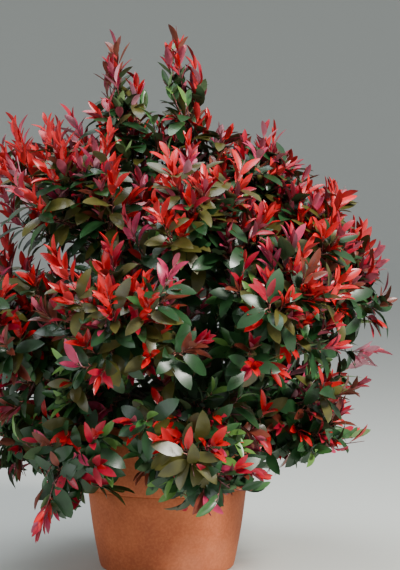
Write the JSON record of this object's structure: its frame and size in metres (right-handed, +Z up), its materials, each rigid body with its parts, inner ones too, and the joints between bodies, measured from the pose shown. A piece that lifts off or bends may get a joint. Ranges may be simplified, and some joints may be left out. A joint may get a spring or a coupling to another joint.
{
  "type": "potted photinia shrub",
  "caption": "Evergreen photinia shrub with glossy green leaves and erect red young shoots, full on all sides, in a round terracotta pot filled with compost.",
  "frame": {"origin": "centre of the pot's flat underside, on the surface that the pot stands on", "axes": "+Z up, -Y towards the viewer of the picture, +X to the picture's right"},
  "size_m": [1.0785, 1.0928, 1.2984],
  "materials": {
    "terracotta": "smooth unglazed terracotta, slightly mottled",
    "compost": "moist dark potting compost",
    "bark": "fine-ridged dark brown bark",
    "red_foliage": "glossy young leaves, scarlet to crimson",
    "bronze_foliage": "glossy ripening leaves, bronze and pink",
    "green_foliage": "glossy leathery mature leaves, dark green"
  },
  "bodies": {
    "root": {"pot": "terracotta", "soil": "compost", "trunk": "bark", "leader_bough": "bark", "left_spire_bough": "bark", "right_crest_bough": "bark", "main_bough_1": "bark", "main_bough_2": "bark", "main_bough_3": "bark", "main_bough_4": "bark", "main_bough_5": "bark", "main_bough_6": "bark", "main_bough_7": "bark", "side_bough_1": "bark", "side_bough_2": "bark", "side_bough_3": "bark", "side_bough_4": "bark", "side_bough_5": "bark", "side_bough_6": "bark", "side_bough_7": "bark", "low_bough_1": "bark", "low_bough_2": "bark", "low_bough_3": "bark", "low_bough_4": "bark", "low_bough_5": "bark", "low_bough_6": "bark", "low_bough_7": "bark", "centre_spire_foliage": "red_foliage", "left_spire_foliage": "red_foliage", "right_crest_foliage": "red_foliage", "shoulder_foliage_1": "red_foliage", "shoulder_foliage_2": "red_foliage", "shoulder_foliage_3": "red_foliage", "shoulder_foliage_4": "red_foliage", "shoulder_foliage_5": "red_foliage", "shoulder_foliage_6": "red_foliage", "shoulder_foliage_7": "red_foliage", "middle_foliage_1": "bronze_foliage", "middle_foliage_2": "bronze_foliage", "middle_foliage_3": "bronze_foliage", "middle_foliage_4": "bronze_foliage", "middle_foliage_5": "bronze_foliage", "middle_foliage_6": "bronze_foliage", "middle_foliage_7": "bronze_foliage", "skirt_foliage_1": "green_foliage", "skirt_foliage_2": "green_foliage", "skirt_foliage_3": "green_foliage", "skirt_foliage_4": "green_foliage", "skirt_foliage_5": "green_foliage", "skirt_foliage_6": "green_foliage", "skirt_foliage_7": "green_foliage"}
  },
  "joints": []
}
